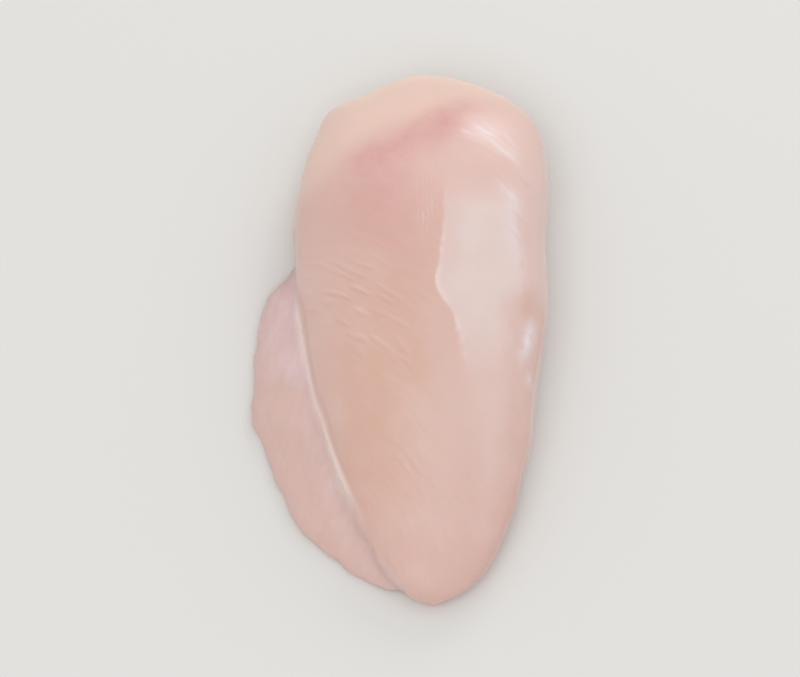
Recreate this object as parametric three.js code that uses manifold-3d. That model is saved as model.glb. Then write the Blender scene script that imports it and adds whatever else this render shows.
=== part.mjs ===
// A raw chicken breast: one boneless, skinless half, lying with its smooth side up.
// It is one piece of meat, so it is one solid: the big breast muscle, thick and round at the far end
// and tapering to a tip at the near end, and the thin flap of rib meat that sticks out from under its left edge.
// Millimetres, +Z up, +Y from the tip to the thick end. The origin is the middle of the underside's box.
import * as THREE from "three";
import { mergeVertices } from "three/addons/utils/BufferGeometryUtils.js";
import Module from "manifold-3d";

// Driving sizes.
const LENGTH = 170; // tip to thick end
const MUSCLE_WIDTH = 79; // the muscle alone, without the flap
const THICKNESS = 38; // at the highest point
const SINK = 2; // how far the round underside is pressed flat by its own weight

// How finely the surfaces are divided.
const MUSCLE_RIBS = 50;
const MUSCLE_SIDES = 48;
const FLAP_RIBS = 40;
const FLAP_SIDES = 28;

// How full a section is between two guide curves: 2 is an ellipse's quarter, and more is squarer.
const MUSCLE_FULLNESS = { rightTop: 2.5, leftTop: 2.05, leftBottom: 2.5, rightBottom: 2.7 };
const FLAP_FULLNESS = { rightTop: 2.0, leftTop: 1.55, leftBottom: 2.6, rightBottom: 2.0 };
const ROUND_END = 0.16; // the share of the length, at each end, where the sections change from ellipses to that

const FLESH = new THREE.MeshStandardMaterial({ color: 0xdcb0a4, roughness: 0.38, metalness: 0 });

// A point of the muscle from shares of its size: x of the half width, y of the length from the tip, z of the thickness.
function musclePoint([x, y, z]) {
  return new THREE.Vector3(x * (MUSCLE_WIDTH / 2), (y - 0.5) * LENGTH, z * THICKNESS);
}

// A smooth curve through points, from the tip to the thick end.
function guide(points) {
  return new THREE.CatmullRomCurve3(points, false, "centripetal");
}

// The muscle hangs on four guide curves that meet at both ends: its edges, where it is widest, its ridge and its belly.
function muscleGuides() {
  const tip = [0.13, 0, 0.13];
  const thickEnd = [0.08, 1, 0.38];
  const belly = -SINK / THICKNESS;
  const right = [
    [0.4, 0.026, 0.18], [0.7, 0.13, 0.25], [0.88, 0.28, 0.31], [0.955, 0.43, 0.35], [1.03, 0.55, 0.38],
    [1.01, 0.66, 0.39], [1.04, 0.8, 0.4], [0.95, 0.893, 0.4], [0.69, 0.955, 0.39], [0.36, 0.989, 0.38],
  ];
  const left = [
    [-0.1, 0.022, 0.17], [-0.36, 0.1, 0.24], [-0.56, 0.22, 0.31], [-0.74, 0.36, 0.36], [-0.87, 0.5, 0.36],
    [-0.95, 0.63, 0.34], [-0.94, 0.75, 0.33], [-0.86, 0.84, 0.35], [-0.765, 0.892, 0.37], [-0.715, 0.922, 0.38],
    [-0.42, 0.958, 0.38], [-0.14, 0.99, 0.38],
  ];
  const ridge = [
    [0.14, 0.012, 0.21], [0.16, 0.06, 0.32], [0.2, 0.2, 0.54], [0.24, 0.36, 0.75], [0.22, 0.52, 0.91],
    [0.18, 0.66, 0.99], [0.14, 0.76, 0.98], [0.1, 0.86, 0.89], [0.08, 0.93, 0.76], [0.08, 0.975, 0.62],
    [0.08, 0.996, 0.48],
  ];
  const bellyLine = [
    [0.13, 0.012, 0.03], [0.1, 0.08, belly], [0.02, 0.5, belly], [0.02, 0.86, belly], [0.06, 0.97, 0.06],
    [0.08, 0.994, 0.2],
  ];
  const between = (points) => guide([tip, ...points, thickEnd].map(musclePoint));
  return { right: between(right), left: between(left), top: between(ridge), bottom: between(bellyLine) };
}

// The flap of rib meat, in millimetres from the muscle's middle: it leans on the muscle's left side and thins outwards.
function flapGuides() {
  const nearEnd = [2, -80, 3];
  const farEnd = [-26, 37, 5];
  const inner = [[4, -56, 4], [-4, -10, 4], [-12, 22, 4]];
  const outer = [
    [-8, -79.5, 2], [-18, -75, 1.8], [-28, -67, 1.9], [-37, -57, 1.8], [-43, -44, 2], [-48.5, -32, 1.9],
    [-50, -18, 2.1], [-51, -5, 2], [-48, 9, 2.2], [-41.5, 22, 2.6], [-34, 33, 3.4],
  ];
  const top = [[-6, -72, 6.5], [-15, -52, 9.6], [-22, -32, 11.8], [-28, -8, 13], [-31, 14, 12.6], [-29, 29, 9.5]];
  const bottom = [[-12, -64, -SINK], [-26, -8, -SINK], [-24, 26, -SINK]];
  const between = (points) => guide([nearEnd, ...points, farEnd].map((p) => new THREE.Vector3(...p)));
  return { right: between(inner), left: between(outer), top: between(top), bottom: between(bottom) };
}

// The flap lies in low folds that run outwards to its wavy edge: how far apart they are, where one is, and how high.
const FOLDS = [{ period: 33, start: 4, rise: 0.9 }, { period: 19, start: 11, rise: 0.5 }];

function foldAt(y) {
  return FOLDS.reduce((sum, f) => sum + f.rise * Math.sin((2 * Math.PI * (y - f.start)) / f.period), 0);
}

// Low swellings and hollows of the muscle's upper side: where, how long and how wide, turned how far, and how high.
const SWELLINGS = [
  { x: 22, y: 52, long: 15, wide: 5, turn: -38, rise: 0.9 }, // a small roll at the shoulder, which catches the light
  { x: 14, y: 44, long: 17, wide: 6, turn: -34, rise: -0.9 }, // the hollow below it
  { x: 30, y: -8, long: 16, wide: 7, turn: 78, rise: 0.8 }, // the full right flank
  { x: -17, y: 30, long: 22, wide: 14, turn: 60, rise: 0.7 },
  { x: -6, y: 2, long: 24, wide: 9, turn: -52, rise: -0.6 },
  { x: 9, y: -38, long: 20, wide: 9, turn: -64, rise: 0.6 },
];

function swellingAt(x, y) {
  return SWELLINGS.reduce((sum, s) => {
    const angle = THREE.MathUtils.degToRad(s.turn);
    const along = (x - s.x) * Math.cos(angle) + (y - s.y) * Math.sin(angle);
    const across = (y - s.y) * Math.cos(angle) - (x - s.x) * Math.sin(angle);
    return sum + s.rise * Math.exp(-((along / s.long) ** 2) - (across / s.wide) ** 2);
  }, 0);
}

// One point of a section. The angle runs from the right edge over the top to the left edge and back underneath.
// Towards both ends, where squareness falls to 0, a section becomes an ellipse, so that the end is round.
function sectionPoint(corners, fullness, squareness, angle) {
  const upper = Math.sin(angle) >= 0;
  const rightHand = Math.cos(angle) >= 0;
  const edge = rightHand ? corners.right : corners.left;
  const pole = upper ? corners.top : corners.bottom;
  const full = fullness[(rightHand ? "right" : "left") + (upper ? "Top" : "Bottom")];
  const power = 2 / THREE.MathUtils.lerp(2, full, squareness);
  const out = Math.abs(Math.cos(angle)) ** power;
  const up = Math.abs(Math.sin(angle)) ** power;
  return new THREE.Vector3(
    THREE.MathUtils.lerp(pole.x, edge.x, out),
    THREE.MathUtils.lerp(pole.y, edge.y, Math.cos(angle) ** 2), // the square leaves no crease along a guide
    THREE.MathUtils.lerp(edge.z, pole.z, up),
  );
}

// A closed surface of ribs between four guide curves, with a single point at each end.
function loft(guides, fullness, ribs, sides, finish = (p) => p) {
  const points = [guides.top.getPointAt(0)];
  for (let i = 1; i < ribs; i++) {
    const share = (1 - Math.cos((Math.PI * i) / ribs)) / 2;
    const along = THREE.MathUtils.lerp(i / ribs, share, 0.6); // closer together towards the round ends
    const squareness = THREE.MathUtils.smoothstep(Math.min(along, 1 - along), 0, ROUND_END);
    const corners = Object.fromEntries(Object.entries(guides).map(([k, curve]) => [k, curve.getPointAt(along)]));
    for (let j = 0; j < sides; j++) {
      points.push(finish(sectionPoint(corners, fullness, squareness, (2 * Math.PI * j) / sides)));
    }
  }
  points.push(guides.top.getPointAt(1));

  const faces = [];
  const at = (i, j) => 1 + i * sides + (j % sides);
  const last = points.length - 1;
  for (let j = 0; j < sides; j++) {
    faces.push(0, at(0, j), at(0, j + 1));
    for (let i = 0; i < ribs - 2; i++) {
      faces.push(at(i, j), at(i + 1, j), at(i + 1, j + 1));
      faces.push(at(i, j), at(i + 1, j + 1), at(i, j + 1));
    }
    faces.push(last, at(ribs - 2, j + 1), at(ribs - 2, j));
  }
  return new THREE.BufferGeometry().setFromPoints(points).setIndex(faces);
}

function muscle() {
  const swell = (p) => {
    const lift = THREE.MathUtils.smoothstep(p.z, THICKNESS * 0.3, THICKNESS * 0.6);
    return p.setZ(p.z + lift * swellingAt(p.x, p.y));
  };
  return loft(muscleGuides(), MUSCLE_FULLNESS, MUSCLE_RIBS, MUSCLE_SIDES, swell);
}

function ribFlap() {
  const fold = (p) => {
    const outwards = THREE.MathUtils.smoothstep(-p.x, 16, 46);
    const rise = foldAt(p.y) * outwards;
    return p.set(p.x - rise, p.y, p.z + 0.8 * rise * THREE.MathUtils.smoothstep(p.z, 0, 3));
  };
  return loft(flapGuides(), FLAP_FULLNESS, FLAP_RIBS, FLAP_SIDES, fold);
}

// Everything below the surface that the meat lies on.
function ground() {
  const depth = 40;
  return new THREE.BoxGeometry(2 * LENGTH, 2 * LENGTH, depth).translate(0, 0, -depth / 2);
}

const wasm = await Module();
wasm.setup();

function solid(geometry) {
  const bare = new THREE.BufferGeometry()
    .setAttribute("position", geometry.getAttribute("position"))
    .setIndex(geometry.index);
  const merged = mergeVertices(bare);
  const vertProperties = merged.getAttribute("position").array;
  const triVerts = new Uint32Array(merged.index.array);
  return new wasm.Manifold(new wasm.Mesh({ numProp: 3, vertProperties, triVerts }));
}

function meshOf(manifold) {
  const { vertProperties, triVerts } = manifold.getMesh();
  return new THREE.BufferGeometry()
    .setAttribute("position", new THREE.BufferAttribute(vertProperties, 3))
    .setIndex(new THREE.BufferAttribute(triVerts, 1));
}

// The origin goes to the middle of the underside's box.
function centred(geometry) {
  geometry.computeBoundingBox();
  const middle = geometry.boundingBox.getCenter(new THREE.Vector3());
  return geometry.translate(-middle.x, -middle.y, -geometry.boundingBox.min.z);
}

function breast() {
  const meat = solid(muscle()).add(solid(ribFlap())).subtract(solid(ground()));
  const mesh = new THREE.Mesh(centred(meshOf(meat)), FLESH);
  mesh.name = "breast";
  return mesh;
}

const group = new THREE.Group();
group.add(breast());
export default group;
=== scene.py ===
"""A raw chicken breast: one boneless, skinless half with its flap of rib meat, lying smooth side up.

The meat is one mesh. It starts as the plain solid, is divided finely and smoothed, and then gets its
relief: muscle fibres and wrinkles, a thin white membrane, a small roll at the shoulder, folds in the flap
and the strip of fat along it. Where each of these lies is worked out in millimetres on the meat and stored
on the mesh, and the flesh material colours them.
"""

import math

import bmesh
import bpy
import numpy as np
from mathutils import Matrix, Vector, noise


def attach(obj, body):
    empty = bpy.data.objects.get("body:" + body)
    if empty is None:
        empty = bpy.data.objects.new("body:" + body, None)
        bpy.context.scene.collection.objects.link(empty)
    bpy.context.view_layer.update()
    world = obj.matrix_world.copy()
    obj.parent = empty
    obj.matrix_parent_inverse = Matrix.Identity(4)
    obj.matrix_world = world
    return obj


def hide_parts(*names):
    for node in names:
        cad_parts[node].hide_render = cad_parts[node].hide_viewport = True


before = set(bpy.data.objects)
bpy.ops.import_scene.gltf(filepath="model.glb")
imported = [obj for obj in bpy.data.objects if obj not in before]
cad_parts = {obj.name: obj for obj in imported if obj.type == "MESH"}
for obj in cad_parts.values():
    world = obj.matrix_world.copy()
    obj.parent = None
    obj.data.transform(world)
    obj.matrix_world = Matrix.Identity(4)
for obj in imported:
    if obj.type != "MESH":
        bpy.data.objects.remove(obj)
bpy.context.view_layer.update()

MM = 0.001

# How finely the meat is divided, and how many rounds of smoothing each thing takes.
CELL = 0.64 * MM
WELD = 0.001 * MM
FACET_ROUNDS = 18  # the solid's facets
CREASE_ROUNDS = 60  # the crease between the muscle and the flap, which the solid has sharper
RESTING_ROUNDS = 60  # the border of the ring that the meat rests on

# The muscle's left edge, where the flap of rib meat comes out from under it: y, then x, in mm.
LEFT_EDGE_Y = [-83, -68, -47.6, -23.8, 0, 22, 42, 60]
LEFT_EDGE_X = [3.9, -8.4, -16.3, -23.5, -28.8, -31.7, -31.3, -28.1]
FLAP_TOP = 13.5  # nothing above this height belongs to the flap
FLAP_TOP_BLUR = 0.6

# The muscle's height along its length: y, then z of its ridge, in mm.
RIDGE_Y = [-85, -83, -75, -51, -24, 3, 27, 44, 61, 73, 81, 84]
RIDGE_Z = [5, 8, 12, 20.5, 28.5, 34.6, 37.6, 37.2, 33.8, 28.9, 23.6, 18]

# On the upper side the muscle fibres run in arcs round a point well off to the near left, in mm.
FIBRE_CENTRE = (-84.0, -106.0)
FIBRE_RADIUS = 140  # about how far the middle of the meat is from it
FLAP_FIBRES = (0.25, 0.97)  # the direction in which they run on the flap

# The thin white membrane over the right side: its ragged left border, then where it fades out, in mm.
MEMBRANE_Y = [-85, -45, -28, -18, -12, -3.5, 0, 4, 7, 11, 17, 24, 30, 38, 48]
MEMBRANE_LEFT_X = [24, 24, 22.5, 20.4, 19, 17.5, 16.1, 13.8, 11.6, 10.8, 12.2, 12.9, 13.6, 13.2, 14.5]
MEMBRANE_RIGHT_X = [28, 37, 39, 40, 40.5, 39.5, 38.5, 38, 38.2, 38.3, 37.8, 36.8, 36, 35.5, 34]
MEMBRANE_END = (31, 48)  # it fades out slowly between these two y

# The creamy rim's inner border runs across the upper left side through this place, and faces this way.
RIM_CORNER = (-26, 43)
RIM_INWARD = (0.5, -0.866)

# The roll at the shoulder: its crest runs from left to right, falls gently behind and steeply in front.
ROLL_X = [12, 18, 25.5, 30, 36, 41]
ROLL_Y = [58.0, 57.4, 54.2, 51.6, 48.2, 44]

# How far the relief stands out or goes in, in mm.
ROLL_HEIGHT = 0.34
RIPPLE_HEIGHT = 0.22
WRINKLE_HEIGHT = 0.16
GROOVE_DEPTH = 0.1
MEMBRANE_THICKNESS = 0.14
HEM_HEIGHT = 0.12
SEAM_HEIGHT = 0.4
SEAM_EXTRA = 0.4  # more for the strip of fat towards the tip, where the crease is deeper
END_FOLD_DEPTH = 0.55
HOLLOW_DEPTH = 1.5
UNDERSIDE_GAP = 0.5  # the underside lies this far off the table inside the ring that it rests on

GROOVE_SHIFT = 1.0  # a wrinkle's groove lies this far below it
COMB_PERIOD = 1.5  # from one wrinkle of the comb to the next

# Soft patches seen from above: middle, half sizes in mm, turn in degrees, and strength.
BLUSHES = [
    ((10, 63.5), (15.5, 8), 36, 1.2),
    ((-12, 53), (9, 6.5), 0, 0.42),
    ((-7, 40), (13.5, 15.5), 0, 0.66),
    ((-1, 21), (9, 11), 0, 0.25),
]
WARM_PATCHES = [((-4, -20), (21, 40), 0, 1)]
WRINKLE_PATCHES = [
    ((-14, 8), (15, 11), -20, 1),
    ((-4, -8), (14, 8), -20, 0.6),
    ((20, 45), (9, 4), -25, 0.5),
    ((35, 43), (6, 9), 0, 0.5),
    ((4, -48), (13, 20), 0, 0.45),
]
WET_PATCHES = [((25, 60), (7, 4), -20, 1), ((32, 54), (7, 2.6), -42, 1), ((40, -5), (4, 9), -20, 1)]
# Painted glint: pale patches painted on the right flank where a glint of reflected light shows.
PAINTED_GLINT_PATCHES = [((39.2, -6), (1.7, 6.2), -15, 1), ((39.8, -18), (1.2, 2.2), 0, 0.6)]
# Painted highlight: pale, cool patches painted where the shine on the shoulder's roll and down the
# membrane's right side shows.
PAINTED_SHEEN_PATCHES = [
    ((26, 60.2), (4, 2.6), -10, 1),
    ((31.3, 54), (5.8, 1.8), -42, 0.9),
    ((20.5, 59), (2.4, 1.1), -40, 0.7),
    ((33.5, 58), (5, 0.9), -58, 0.5),
    ((35, 52), (2.6, 1.1), -42, 0.6),
    ((34, 38.5), (6, 2.2), -50, 0.7),
    ((35, 28), (2.5, 10), 4, 0.75),
]
COMB_PATCHES = [((8.6, 31), (3.4, 5), 0, 1), ((7.5, 41.5), (1.8, 4), 0, 0.9)]
VEILS = [((15, -30), (8.5, 25), 0, 0.36)]  # thin, blurred stretches of the membrane
FLANK_SHADE_PATCHES = [((38.5, 4), (5, 5.5), 0, 1)]  # painted shade: the pale flank is left out here and the membrane thinned, so the flesh shows darker
FLAP_PALES = [((-33, -8), (9, 8), 0, 1)]  # and the flap is paler here
UNDERSIDE_HOLLOWS = [((6, 4), (11, 42), 6, 1)]


def smoothstep(value, low, high):
    """A soft step from 0 at low to 1 at high."""
    t = np.clip((value - low) / (high - low), 0.0, 1.0)
    return t * t * (3 - 2 * t)


def patch(points, middle, size, turn, strength):
    """A soft patch: its strength in its middle, 0.37 of that at its half sizes, and nothing well outside."""
    c, s = math.cos(math.radians(turn)), math.sin(math.radians(turn))
    dx, dy = points[:, 0] - middle[0], points[:, 1] - middle[1]
    return strength * np.exp(-(((dx * c + dy * s) / size[0]) ** 2) - ((dy * c - dx * s) / size[1]) ** 2)


def patches(points, places):
    """Patches laid over each other, 1 at most."""
    return np.clip(sum(patch(points, *place) for place in places), 0, 1)


def grain(points, size, seed):
    """Smooth noise at the points, about -1 to 1.

    Size is that of one grain in mm, one number or one for each axis. Each seed gives noise of its own.
    """
    scaled = points / np.array(size, float) + np.array([17.3, -9.1, 4.7]) * seed
    return np.array([noise.noise(Vector(p)) for p in scaled])


def new_object(name, data):
    """A new object in the scene."""
    made = bpy.data.objects.new(name, data)
    bpy.context.scene.collection.objects.link(made)
    return made


# The mesh of the meat.


def divided_finely(source):
    """The solid's mesh, welded and divided into cells of one size."""
    mesh = source.data.copy()
    welded = bmesh.new()
    welded.from_mesh(mesh)
    bmesh.ops.remove_doubles(welded, verts=welded.verts, dist=WELD)
    welded.to_mesh(mesh)
    welded.free()
    piece = new_object("breast_meat", mesh)
    remesh = piece.modifiers.new("cells", "REMESH")
    remesh.mode = "VOXEL"
    remesh.voxel_size = CELL
    graph = bpy.context.evaluated_depsgraph_get()
    fine = bpy.data.meshes.new_from_object(piece.evaluated_get(graph))
    piece.modifiers.clear()
    piece.data = fine
    return piece


def read_points(mesh):
    """The mesh's points, in mm."""
    points = np.empty(len(mesh.vertices) * 3)
    mesh.vertices.foreach_get("co", points)
    return points.reshape(-1, 3) / MM


def write_points(mesh, points):
    """Moves the mesh's points to these places, in mm."""
    mesh.vertices.foreach_set("co", (points * MM).ravel())
    mesh.update()


def read_normals(mesh):
    """Which way the surface faces at each of the mesh's points."""
    normals = np.empty(len(mesh.vertices) * 3, np.float32)
    mesh.vertex_normals.foreach_get("vector", normals)
    return normals.reshape(-1, 3).astype(float)


def smoothed(mesh, points, rounds, strength):
    """The points, each moved towards the middle of its neighbours, a few rounds over. Strength is 0 to 1."""
    edges = np.empty(len(mesh.edges) * 2, np.int32)
    mesh.edges.foreach_get("vertices", edges)
    a, b = edges.reshape(-1, 2).T
    count = len(points)
    neighbours = (np.bincount(a, minlength=count) + np.bincount(b, minlength=count))[:, None]
    for _ in range(rounds):
        total = np.stack(
            [np.bincount(a, p[b], count) + np.bincount(b, p[a], count) for p in points.T], axis=1
        )
        points = points + strength * (total / neighbours - points)
    return points


# Where things lie on the meat. A cover is a number for every point: 1 on the thing, 0 away from it.


def beside_muscle(points):
    """How far a point lies to the left of the muscle's left edge, in mm, seen from above."""
    return np.interp(points[:, 1], LEFT_EDGE_Y, LEFT_EDGE_X) - points[:, 0]


def crease_cover(points):
    """The crease between the muscle and the flap."""
    beside, z = beside_muscle(points), points[:, 2]
    near = smoothstep(beside, -4, -1) * smoothstep(-beside, -6, -2)
    return near * smoothstep(z, 4, 8) * smoothstep(-z, -18, -14) * smoothstep(points[:, 1], -70, -55)


def low_enough(points):
    """Everything that is no higher than the flap."""
    return smoothstep(-points[:, 2], -FLAP_TOP - FLAP_TOP_BLUR, -FLAP_TOP + FLAP_TOP_BLUR)


def flap_cover(points):
    """The flap of rib meat."""
    ends = smoothstep(-points[:, 1], -38, -32)
    return smoothstep(beside_muscle(points), -0.9, 0.3) * low_enough(points) * ends


def flap_tan_and_shade_cover(points):
    """Where the flap is tan: away from the muscle, where the darker tan is partly painted shade, and towards
    its near end.
    """
    outer = smoothstep(beside_muscle(points), 5, 13)
    near_end = smoothstep(-points[:, 1], 7, 22)
    return np.clip(0.6 * outer + 0.75 * near_end + 0.35 * grain(points, 9, 23), 0, 1)


def flap_painted_shade_cover(points):
    """Where the flap is painted shade, darker and mauve: towards its far end."""
    return smoothstep(points[:, 1] + 3 * grain(points, 12, 24), 6, 22)


def seam_cover(points):
    """The strip of fat on the flap, along the muscle's edge."""
    beside, y, z = beside_muscle(points), points[:, 1], points[:, 2]
    waver = 0.6 * grain(points, 7, 3)
    wider = 1.2 * smoothstep(-y, 8, 20)
    strip = smoothstep(beside + wider, -1.9, -0.9) * smoothstep(-beside, -4 - waver, -0.6 - waver)
    ends = smoothstep(y, -64, -40) * smoothstep(-y, -18, -4)
    return strip * ends * smoothstep(z, 2.5, 5) * low_enough(points)


def painted_end_light_cover(normals):
    """The outermost part of the thick end, which faces the lamps behind: painted light, the palest part."""
    return smoothstep(normals[:, 1], 0.55, 0.9)


def inside_membrane(points):
    """How far a point lies inside the membrane's ragged left border, and inside its right one, in mm."""
    x, y, _ = points.T
    ragged = 0.55 * grain(points, 3.2, 1) + 0.3 * grain(points, 1.1, 2)
    from_left = x - np.interp(y, MEMBRANE_Y, MEMBRANE_LEFT_X) + ragged
    return from_left, np.interp(y, MEMBRANE_Y, MEMBRANE_RIGHT_X) - x + 3.5 * ragged


def hem_cover(points):
    """Bits of the membrane's left border, where its torn edge has rolled up and is whiter."""
    y = points[:, 1]
    hem = np.exp(-(((inside_membrane(points)[0] - 0.5) / 0.7) ** 2))
    broken = smoothstep(grain(points, 2.6, 25), -0.25, 0.3)
    return hem * broken * smoothstep(y, -18, -8) * smoothstep(-y, -32, -22)


def membrane_cover(points, normals):
    """The thin white membrane, which is thinner towards the tip and along its upper left border."""
    y = points[:, 1]
    from_left, from_right = inside_membrane(points)
    softness = 0.5 + 5 * smoothstep(-y, 4, 24)
    cover = smoothstep(from_left / softness, -1, 1)
    upwards = smoothstep(y, -6, 12)
    cover *= upwards * smoothstep(from_right, -2, 2) + (1 - upwards) * smoothstep(from_right, -1, 11)
    cover *= smoothstep(-y + 4 * grain(points, 12, 4), -MEMBRANE_END[1], -MEMBRANE_END[0])
    fading = (0.5 + 0.5 * smoothstep(y, -20, 2)) * smoothstep(y, -82, -45)
    # Painted shade: the membrane is thinner where the flank is painted darker.
    fading *= 1 - 0.6 * patches(points, FLANK_SHADE_PATCHES)
    fading *= 1 - 0.35 * (1 - smoothstep(from_left, 0, 9)) * smoothstep(y, 6, 20)
    bare = (1 - cover * fading) * (1 - patches(points, VEILS))
    return (1 - bare) * smoothstep(normals[:, 2], -0.1, 0.4)


def rim_cover(points, normals):
    """The creamy band along the thick end and down the upper left side: partly the flesh's own cream and
    partly painted light, strongest where the surface faces the lamps behind.
    """
    x, y, _ = points.T
    inward = RIM_INWARD[0] * (x - RIM_CORNER[0]) + RIM_INWARD[1] * (y - RIM_CORNER[1])
    inward = inward + 3.5 * grain(points, 15, 5)
    corner = smoothstep(-inward, -3, 9) * smoothstep(y, 14, 42)
    end = smoothstep(normals[:, 1], 0.35, 0.8)
    return np.clip(corner + end, 0, 1)


def flank_cover(points):
    """The paler right side, beyond the membrane, and less so the left side, where the paleness is painted
    light.
    """
    x, y, _ = points.T
    right = smoothstep(x, 33, 38) * (0.5 + 0.5 * smoothstep(y, 0, 12)) * smoothstep(-y, -62, -45)
    left = 0.4 * smoothstep(-x, 12, 28) * smoothstep(-y, -40, -20)
    return (right + left) * smoothstep(y, -60, -25) * (1 - patches(points, FLANK_SHADE_PATCHES))


def fibre_place(points, flap):
    """Two distances in mm for each point: across the fibres and along them."""
    x, y, _ = points.T
    dx, dy = x - FIBRE_CENTRE[0], y - FIBRE_CENTRE[1]
    across, along = np.hypot(dx, dy), np.arctan2(dy, dx) * FIBRE_RADIUS
    run_x, run_y = FLAP_FIBRES
    across = np.where(flap > 0.5, run_y * x - run_x * y, across)
    along = np.where(flap > 0.5, run_y * y + run_x * x, along)
    return across, along


def level_on_side(points):
    """Height on the sides in mm, scaled so that lines of one level run together towards the tip."""
    _, y, z = points.T
    return 30 * z / np.interp(y, RIDGE_Y, RIDGE_Z) + 2.5 * grain(points, 22, 17)


# The relief, in mm out from the smooth surface.


def roll_relief(points):
    """The roll, with ripples behind its crest."""
    x, y, z = points.T
    behind = y - np.interp(x, ROLL_X, ROLL_Y) + 0.5 * grain(points, 5, 13)
    crest = np.where(behind > 0, np.exp(-np.abs(behind) / 4.5), smoothstep(behind, -2.2, 0.1))
    ripples = grain(np.stack([behind, x, 0 * x], axis=1), (3.2, 9, 1), 14) * smoothstep(behind, -1, 2)
    ripples = ripples * smoothstep(-behind, -11, -5)
    ends = smoothstep(x, 13, 20) * smoothstep(-x, -41, -33)
    return (ROLL_HEIGHT * crest + RIPPLE_HEIGHT * ripples) * ends * smoothstep(z, 20, 27)


def fibre_relief(points, across, along, level, side):
    """Fine grooves along the fibres on the upper side, and deeper ones between the bundles on the sides."""
    above = np.stack([across, along, points[:, 2]], axis=1)
    beside = np.stack([points[:, 0], points[:, 1], level], axis=1)
    fine = 0.05 * grain(above, (2.6, 26, 9), 6) + 0.03 * grain(above, (1.4, 12, 5), 7)
    deep = 0.38 * grain(beside, (26, 26, 3.4), 18) + 0.12 * grain(beside, (11, 11, 1.5), 19)
    return (fine + side * (deep - fine)) * (0.6 + 0.4 * grain(points, 18, 8))


def wrinkle_height(points, across, along, area):
    """Short wrinkles along the fibres, from 0 to 1 high."""
    place = np.stack([across, along, points[:, 2]], axis=1)
    return area * smoothstep(grain(place, (1.5, 9, 5), 22), 0.08, 0.5)


def end_fold_relief(points, level, normals):
    """A shallow crease round the thick end, where the meat settles under its own weight."""
    crease = np.exp(-(((level - 13) / 1.7) ** 2)) - 0.6 * np.exp(-(((level - 17.5) / 3) ** 2))
    uneven = 0.6 + 0.5 * grain(points, 16, 20)
    return -END_FOLD_DEPTH * crease * smoothstep(normals[:, 1], 0.2, 0.8) * uneven


def dimple_relief(points, side):
    """Slow dips and swells that no two breasts share."""
    return (0.28 + 0.5 * side) * grain(points, 17, 9) + (0.12 + 0.15 * side) * grain(points, 7, 10)


def seam_relief(points, seam):
    """The strip of fat stands up a little, and more towards the tip."""
    return seam * (SEAM_HEIGHT + SEAM_EXTRA * smoothstep(-points[:, 1], 6, 16))


def flap_relief(points, along, normals):
    """Low folds, and a slightly ragged edge."""
    x, y, z = points.T
    folds = grain(np.stack([x + 0.25 * y, along, z], axis=1), (5, 16, 9), 11)
    edge = smoothstep(-np.abs(normals[:, 2]), -0.8, -0.3)
    return 0.3 * folds + 0.2 * grain(points, 2.6, 12) + 0.7 * edge * grain(points, (5, 5, 20), 21)


def underside_lift(mesh, points, across, along, normals):
    """How far the underside lies off the table, in mm, inside the ring that the meat rests on."""
    resting = ((points[:, 2] < 0.05) & (normals[:, 2] < -0.99)).astype(float)
    inside = smoothstep(smoothed(mesh, resting[:, None], RESTING_ROUNDS, 0.5)[:, 0], 0.85, 1)
    fibres = grain(np.stack([across, along, points[:, 2]], axis=1), (3.4, 26, 9), 15)
    hollows = HOLLOW_DEPTH * patches(points, UNDERSIDE_HOLLOWS)
    return inside * (hollows + UNDERSIDE_GAP + 0.45 * fibres + 0.4 * grain(points, 9, 16))


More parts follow.
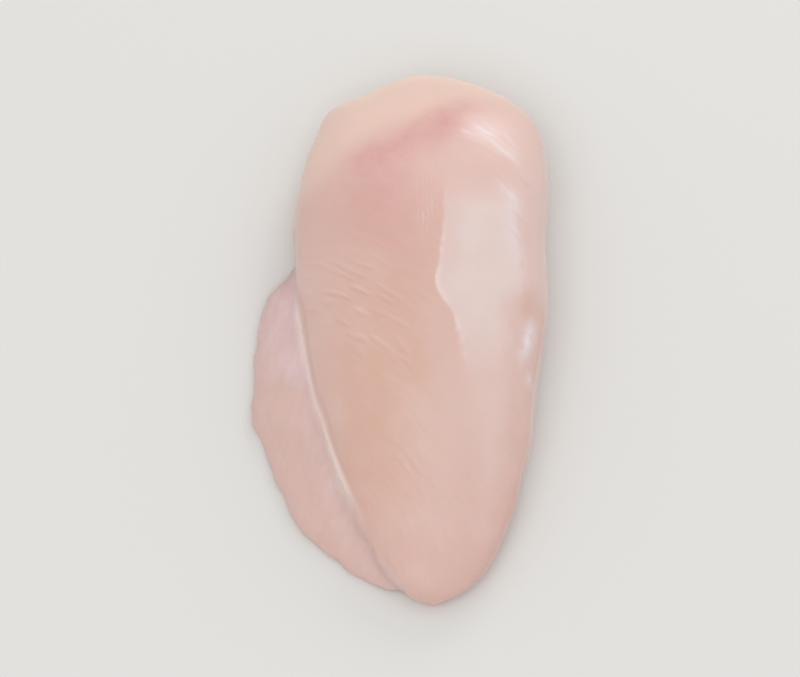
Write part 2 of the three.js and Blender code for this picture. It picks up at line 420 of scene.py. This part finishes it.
def make_meat():
    """The meat with its relief, and with what the material needs stored on its points."""
    piece = divided_finely(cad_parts["breast"])
    mesh = piece.data
    points = smoothed(mesh, read_points(mesh), FACET_ROUNDS, 0.5)
    points = smoothed(mesh, points, CREASE_ROUNDS, 0.5 * crease_cover(points)[:, None])
    write_points(mesh, points)
    normals = read_normals(mesh)

    flap = flap_cover(points)
    seam = seam_cover(points)
    membrane = membrane_cover(points, normals)
    hem = hem_cover(points)
    across, along = fibre_place(points, flap)
    upper = smoothstep(normals[:, 2], -0.2, 0.3)
    side = smoothstep(-np.abs(normals[:, 2]), -0.62, -0.1) * (1 - flap)
    level = level_on_side(points)

    wrinkle_area = upper * (1 - side) * (0.06 + 0.94 * patches(points, WRINKLE_PATCHES))
    wrinkle = wrinkle_height(points, across, along, wrinkle_area)
    groove = wrinkle_height(points, across + GROOVE_SHIFT, along, wrinkle_area)

    relief = fibre_relief(points, across, along, level, side) * (1 - 0.6 * membrane)
    relief += WRINKLE_HEIGHT * wrinkle - GROOVE_DEPTH * groove
    relief += dimple_relief(points, side) + end_fold_relief(points, level, normals)
    relief += upper * (roll_relief(points) + MEMBRANE_THICKNESS * membrane + HEM_HEIGHT * hem)
    relief += seam_relief(points, seam) + flap * flap_relief(points, along, normals)
    lift = underside_lift(mesh, points, across, along, normals)
    points = points + normals * relief[:, None]
    points[:, 2] = np.maximum(points[:, 2], 0) + lift
    write_points(mesh, points)

    stored = {
        "across": across,
        "along": along,
        "flap": flap,
        "flap_tan_and_shade": flap_tan_and_shade_cover(points),
        "flap_painted_shade": flap_painted_shade_cover(points),
        "flap_pale": patches(points, FLAP_PALES),
        "seam": seam,
        "membrane": membrane,
        "hem": upper * hem,
        "rim": rim_cover(points, normals),
        "end": painted_end_light_cover(normals),
        "flank": flank_cover(points),
        "side": side,
        "under": smoothstep(-normals[:, 2], 0.5, 0.9),
        "level": level,
        "warm": upper * patches(points, WARM_PATCHES),
        "blush": upper * patches(points, BLUSHES),
        "wrinkle": wrinkle,
        "groove": groove,
        "wet": upper * patches(points, WET_PATCHES),
        "painted_glint": upper * patches(points, PAINTED_GLINT_PATCHES),
        "painted_sheen": upper * patches(points, PAINTED_SHEEN_PATCHES),
        "comb": upper * patches(points, COMB_PATCHES),
    }
    for name, values in stored.items():
        layer = mesh.attributes.new(name, "FLOAT", "POINT")
        layer.data.foreach_set("value", values.astype(np.float32))
    mesh.shade_smooth()
    return piece


# The flesh material.


def srgb(red, green, blue):
    """A colour as a picture shows it, 0 to 255, in the linear numbers that shaders take."""
    parts = [c / 255 for c in (red, green, blue)]
    return (*[c / 12.92 if c <= 0.04045 else ((c + 0.055) / 1.055) ** 2.4 for c in parts], 1.0)


TAN = srgb(221, 184, 173)
TAN_LIGHT = srgb(226, 194, 184)
TAN_WARM = srgb(217, 176, 156)
SHOULDER = srgb(230, 198, 189)
PINK = srgb(217, 163, 156)
CREAM = srgb(235, 204, 190)
# Painted light on the thick end.
PAINTED_END_LIGHT = srgb(247, 217, 197)
MEMBRANE = srgb(229, 209, 204)
FLANK = srgb(229, 202, 195)
LAVENDER = srgb(220, 190, 191)
LAVENDER_LIGHT = srgb(230, 207, 204)
# The flap's tan, partly painted shade on its outer part.
FLAP_TAN_AND_SHADE = srgb(217, 183, 171)
# Painted shade at the flap's far end.
FLAP_PAINTED_SHADE = srgb(209, 172, 171)
FAT = srgb(241, 223, 215)
STRAND = srgb(238, 214, 203)
# Painted shade for the grooves below the wrinkles.
PAINTED_GROOVE_SHADE = srgb(205, 160, 148)
# Painted highlights and painted glints.
PAINTED_HIGHLIGHT_WHITE = srgb(240, 230, 235)


class Graph:
    """A material's nodes, added one at a time."""

    def __init__(self, name):
        self.material = bpy.data.materials.new(name)
        self.material.use_nodes = True
        self.tree = self.material.node_tree
        self.shader = self.tree.nodes["Principled BSDF"]

    def add(self, kind, settings=None, inputs=None):
        """A node of a kind, with settings by name, and inputs by name or number.

        Each input is a value or another node's output.
        """
        node = self.tree.nodes.new("ShaderNode" + kind)
        for key, value in (settings or {}).items():
            setattr(node, key, value)
        for key, value in (inputs or {}).items():
            self.feed(node.inputs[key], value)
        return node

    def feed(self, socket, value):
        """Gives an input a value, or joins it to another node's output."""
        if isinstance(value, bpy.types.NodeSocket):
            self.tree.links.new(value, socket)
        else:
            socket.default_value = value

    def stored(self, name):
        """What is stored on the mesh under this name."""
        return self.add("Attribute", {"attribute_name": name}).outputs["Fac"]

    def math(self, operation, *values):
        return self.add("Math", {"operation": operation}, dict(enumerate(values))).outputs[0]

    def times(self, first, second):
        return self.math("MULTIPLY", first, second)

    def ramp(self, value, low, high, to_low=0.0, to_high=1.0):
        """A soft step from to_low where the value is low, to to_high where it is high."""
        settings = {"interpolation_type": "SMOOTHSTEP"}
        inputs = {"Value": value, "From Min": low, "From Max": high}
        inputs.update({"To Min": to_low, "To Max": to_high})
        return self.add("MapRange", settings, inputs).outputs["Result"]

    def mix(self, share, first, second):
        """Two colours mixed by share.

        The node has sockets of one name for each kind of data, so its share and colours go by number.
        """
        return self.add("Mix", {"data_type": "RGBA"}, {0: share, 6: first, 7: second}).outputs[2]

    def noise(self, place, scale, detail=2.0):
        """Smooth noise, 0 to 1, with scale grains to a unit of the place."""
        return self.add("TexNoise", {}, {"Vector": place, "Scale": scale, "Detail": detail}).outputs["Fac"]

    def bump(self, height, depth, strength, under=None):
        """Fine relief: height 0 to 1 stands for a depth in metres. It lies on top of the relief under it."""
        inputs = {"Height": height, "Distance": depth, "Strength": strength}
        if under is not None:
            inputs["Normal"] = under
        return self.add("Bump", {}, inputs).outputs[0]


def flesh_material():
    """Moist raw flesh, with everything that lies on it laid over it in turn."""
    g = Graph("raw_chicken_flesh")
    place = g.add("TexCoord").outputs["Object"]
    axes = g.add("SeparateXYZ", {}, {"Vector": place}).outputs
    across, along, level = g.stored("across"), g.stored("along"), g.stored("level")

    def stretched_noise(parts, detail):
        return g.noise(g.add("CombineXYZ", {}, dict(zip("XYZ", parts))).outputs[0], 1.0, detail)

    def fibre_noise(wide, long, detail=2.0):
        """Streaks along the fibres of the upper side, of a width and length in mm."""
        parts = [
            g.math("DIVIDE", across, wide),
            g.math("DIVIDE", along, long),
            g.math("DIVIDE", axes["Z"], wide * 3 * MM),
        ]
        return stretched_noise(parts, detail)

    def side_noise(wide, long, detail=2.0):
        """Streaks that run round the sides, of a width and length in mm."""
        parts = [
            g.math("DIVIDE", axes["X"], long * MM),
            g.math("DIVIDE", axes["Y"], long * MM),
            g.math("DIVIDE", level, wide),
        ]
        return stretched_noise(parts, detail)

    # The flesh: tan with lighter clouds, warm in the middle, pale at the shoulder, pink where blood shows.
    clouds = g.noise(place, 60.0, 4.0)
    colour = g.mix(g.times(g.stored("warm"), 0.85), TAN, TAN_WARM)
    colour = g.mix(g.ramp(clouds, 0.42, 0.72, 0.0, 0.5), colour, TAN_LIGHT)
    colour = g.mix(g.ramp(axes["Y"], 0.03, 0.056), colour, SHOULDER)
    # The pale right flank, and painted light on the left side.
    colour = g.mix(g.times(g.stored("flank"), 0.85), colour, FLANK)
    mottle = g.ramp(g.noise(place, 220.0, 3.0), 0.3, 0.7, 0.7, 1.0)
    colour = g.mix(g.times(g.stored("blush"), mottle), colour, PINK)

    # Fibres: faint streaks all over, plainer on the sides, and wrinkles, pale with painted shade in the
    # groove below.
    side = g.stored("side")
    colour = g.mix(g.ramp(fibre_noise(0.8, 12.0), 0.45, 0.7, 0.0, 0.12), colour, TAN_LIGHT)
    colour = g.mix(g.times(g.ramp(side_noise(1.6, 24.0), 0.45, 0.68, 0.0, 0.3), side), colour, STRAND)
    colour = g.mix(g.times(g.ramp(side_noise(3.4, 30.0), 0.48, 0.68, 0.0, 0.4), side), colour, PINK)
    bundles = g.ramp(fibre_noise(3.2, 30.0), 0.45, 0.65, 0.0, 0.42)
    colour = g.mix(g.times(bundles, g.stored("under")), colour, STRAND)
    # Painted shade in each wrinkle's groove.
    colour = g.mix(g.times(g.stored("groove"), 0.3), colour, PAINTED_GROOVE_SHADE)
    colour = g.mix(g.times(g.stored("wrinkle"), 0.26), colour, STRAND)

    # The comb: short upright wrinkles beside the membrane.
    waver = g.times(g.noise(place, 260.0, 1.0), 2 * MM)
    wave = g.math("SINE", g.times(g.math("ADD", axes["X"], waver), 2 * math.pi / (COMB_PERIOD * MM)))
    broken = g.ramp(g.noise(place, 240.0, 1.0), 0.35, 0.6)
    comb = g.times(g.times(g.ramp(wave, 0.0, 1.0), g.stored("comb")), broken)
    colour = g.mix(g.times(comb, 0.45), colour, STRAND)

    # The creamy rim, partly painted light, the painted light on the thick end, and the membrane lie over it,
    # with the membrane's whiter hem.
    colour = g.mix(g.times(g.stored("rim"), 0.85), colour, CREAM)
    # Painted light on the thick end, where it faces the lamps behind.
    colour = g.mix(g.times(g.stored("end"), 0.8), colour, PAINTED_END_LIGHT)
    thickness = g.ramp(g.noise(place, 100.0, 3.0), 0.3, 0.7, 0.84, 1.0)
    colour = g.mix(g.times(g.stored("membrane"), thickness), colour, MEMBRANE)
    colour = g.mix(g.times(g.stored("hem"), 0.5), colour, FAT)

    # Painted highlights and painted glints: silvery, pale patches where the moist surface shines, torn or
    # streaked along the fibres.
    torn = g.ramp(g.noise(place, 260.0, 2.0), 0.3, 0.55, 0.3, 1.0)
    colour = g.mix(g.times(g.times(g.stored("painted_glint"), torn), 0.85), colour, PAINTED_HIGHLIGHT_WHITE)
    patchy = g.ramp(fibre_noise(1.4, 8.0), 0.38, 0.58, 0.35, 1.0)
    colour = g.mix(g.times(g.times(g.stored("painted_sheen"), patchy), 0.5), colour, PAINTED_HIGHLIGHT_WHITE)

    # The flap, lavender with pale specks and strips, with painted shade, darker and mauve, at its far end,
    # and tan at its near one, where the tan is partly painted shade on its outer part.
    speckle = g.times(g.ramp(g.noise(place, 850.0, 2.0), 0.35, 0.7), 0.25)
    strips = g.times(g.ramp(fibre_noise(2.6, 14.0), 0.4, 0.6), 0.4)
    flap_colour = g.mix(g.math("ADD", speckle, strips), LAVENDER, LAVENDER_LIGHT)
    flap_colour = g.mix(g.times(g.stored("flap_pale"), 0.3), flap_colour, LAVENDER_LIGHT)
    flap_colour = g.mix(g.times(g.stored("flap_tan_and_shade"), 0.75), flap_colour, FLAP_TAN_AND_SHADE)
    flap_colour = g.mix(g.times(g.stored("flap_painted_shade"), 0.7), flap_colour, FLAP_PAINTED_SHADE)
    colour = g.mix(g.times(g.stored("flap"), 0.95), colour, flap_colour)
    colour = g.mix(g.times(g.stored("seam"), 0.9), colour, FAT)

    # Fine relief that the mesh is too coarse for.
    normal = g.bump(fibre_noise(0.6, 9.0, 3.0), 0.04 * MM, 0.5)
    normal = g.bump(comb, 0.12 * MM, 0.6, normal)
    normal = g.bump(g.noise(place, 1500.0, 2.0), 0.015 * MM, 0.5, normal)

    # Moist, with a softer shine where it has begun to dry.
    wet = g.stored("wet")
    dry_roughness = g.ramp(g.noise(place, 140.0, 3.0), 0.3, 0.7, 0.38, 0.5)
    looks = {
        "Base Color": colour,
        "Normal": normal,
        "Coat Normal": normal,
        "Roughness": g.math("SUBTRACT", dry_roughness, g.times(wet, 0.05)),
        "Coat Weight": g.math("ADD", g.times(wet, 0.2), g.math("ADD", g.times(side, 0.5), 0.2)),
        "Coat Roughness": 0.19,
        "Coat IOR": 1.4,
        "IOR": 1.38,
        "Subsurface Weight": 0.35,
        "Subsurface Radius": (1.0, 0.45, 0.32),
        "Subsurface Scale": 3.0 * MM,
    }
    for name, value in looks.items():
        g.feed(g.shader.inputs[name], value)
    return g.material


meat = make_meat()
meat.data.materials.clear()
meat.data.materials.append(flesh_material())
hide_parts("breast")
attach(meat, "root")


# The studio: a pale floor, soft light from the front, above and behind, and the camera.


def make_floor():
    """A wide floor, a hair below the meat."""
    mesh = bpy.data.meshes.new("floor")
    half = 12.0
    corners = [(-half, -half, 0), (half, -half, 0), (half, half, 0), (-half, half, 0)]
    mesh.from_pydata(corners, [], [(0, 1, 2, 3)])
    floor = new_object("floor", mesh)
    g = Graph("pale_floor")
    g.shader.inputs["Base Color"].default_value = srgb(226, 225, 222)
    g.shader.inputs["Roughness"].default_value = 0.7
    mesh.materials.append(g.material)
    floor.location.z = -0.02 * MM


def aim(thing, azimuth, elevation, distance, target=(0, 0, 0)):
    """Puts a lamp or camera at a distance from its target, facing it.

    Azimuth 0 is in front, at -Y, and 90 is at the right, at +X.
    """
    a, e = math.radians(azimuth), math.radians(elevation)
    direction = Vector((math.sin(a) * math.cos(e), -math.cos(a) * math.cos(e), math.sin(e)))
    thing.location = Vector(target) + direction * distance
    thing.rotation_euler = direction.to_track_quat("Z", "Y").to_euler()


def add_softbox(name, azimuth, elevation, distance, size, power):
    """A square soft light that faces the meat."""
    lamp = bpy.data.lights.new(name, "AREA")
    lamp.shape = "SQUARE"
    lamp.size = size
    lamp.energy = power
    aim(new_object(name, lamp), azimuth, elevation, distance)


def set_world(low, high):
    """White light from all round: its strength at the horizon and below, and straight above."""
    world = bpy.data.worlds.new("studio")
    world.use_nodes = True
    nodes, links = world.node_tree.nodes, world.node_tree.links
    place = nodes.new("ShaderNodeTexCoord")
    axes = nodes.new("ShaderNodeSeparateXYZ")
    strength = nodes.new("ShaderNodeMapRange")
    strength.inputs["To Min"].default_value = low
    strength.inputs["To Max"].default_value = high
    background = nodes["Background"]
    background.inputs["Color"].default_value = (1.0, 1.0, 1.0, 1.0)
    links.new(place.outputs["Generated"], axes.inputs["Vector"])
    links.new(axes.outputs["Z"], strength.inputs["Value"])
    links.new(strength.outputs["Result"], background.inputs["Strength"])
    bpy.context.scene.world = world


def add_camera(elevation, distance, lens, target):
    """A camera in front of the meat, raised by elevation, that looks at the target."""
    data = bpy.data.cameras.new("camera")
    data.lens = lens
    data.clip_start = 0.01
    camera = new_object("camera", data)
    aim(camera, 0, elevation, distance, target)
    bpy.context.scene.camera = camera


make_floor()
set_world(low=0.5, high=0.9)
add_softbox("front", azimuth=-24, elevation=64, distance=1.2, size=0.8, power=2.8)
add_softbox("key", azimuth=160, elevation=28, distance=0.9, size=0.3, power=1.08)
add_softbox("rim", azimuth=143, elevation=19, distance=0.9, size=0.25, power=0.35)
add_camera(elevation=70, distance=4.1, lens=600, target=(0.0, -0.003, 0.019))
bpy.context.scene.view_settings.view_transform = "Standard"
